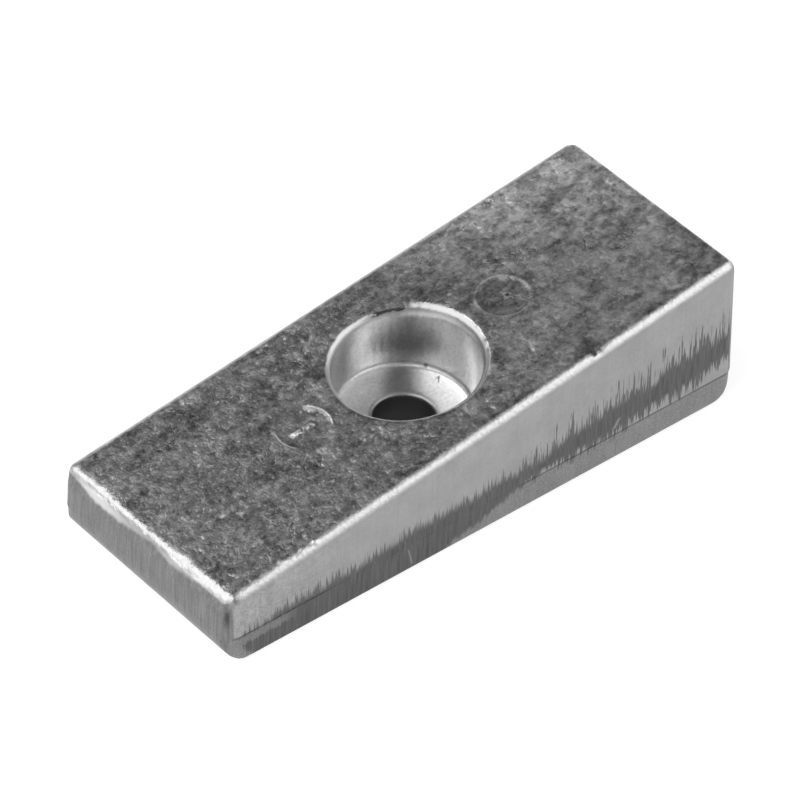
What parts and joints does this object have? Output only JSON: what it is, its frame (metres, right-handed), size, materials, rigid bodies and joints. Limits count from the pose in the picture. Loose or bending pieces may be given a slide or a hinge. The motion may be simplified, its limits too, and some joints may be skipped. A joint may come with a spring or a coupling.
{
  "type": "sacrificial anode",
  "caption": "Wedge-shaped cast sacrificial anode with a deep bolt-head recess and a through hole for one mounting bolt.",
  "frame": {"origin": "bolt hole's axis at the mounting face, which is the flat underside", "axes": "+Z out of the mounting face towards the sloping top face, +X towards the thick end, Y across the width"},
  "size_m": [0.07, 0.0276, 0.0184],
  "materials": {
    "cast_alloy": "as cast: rough mottled top skin, bright rounded edges, drag-scored smooth side walls"
  },
  "bodies": {
    "root": {"anode_casting": "cast_alloy"}
  },
  "joints": []
}
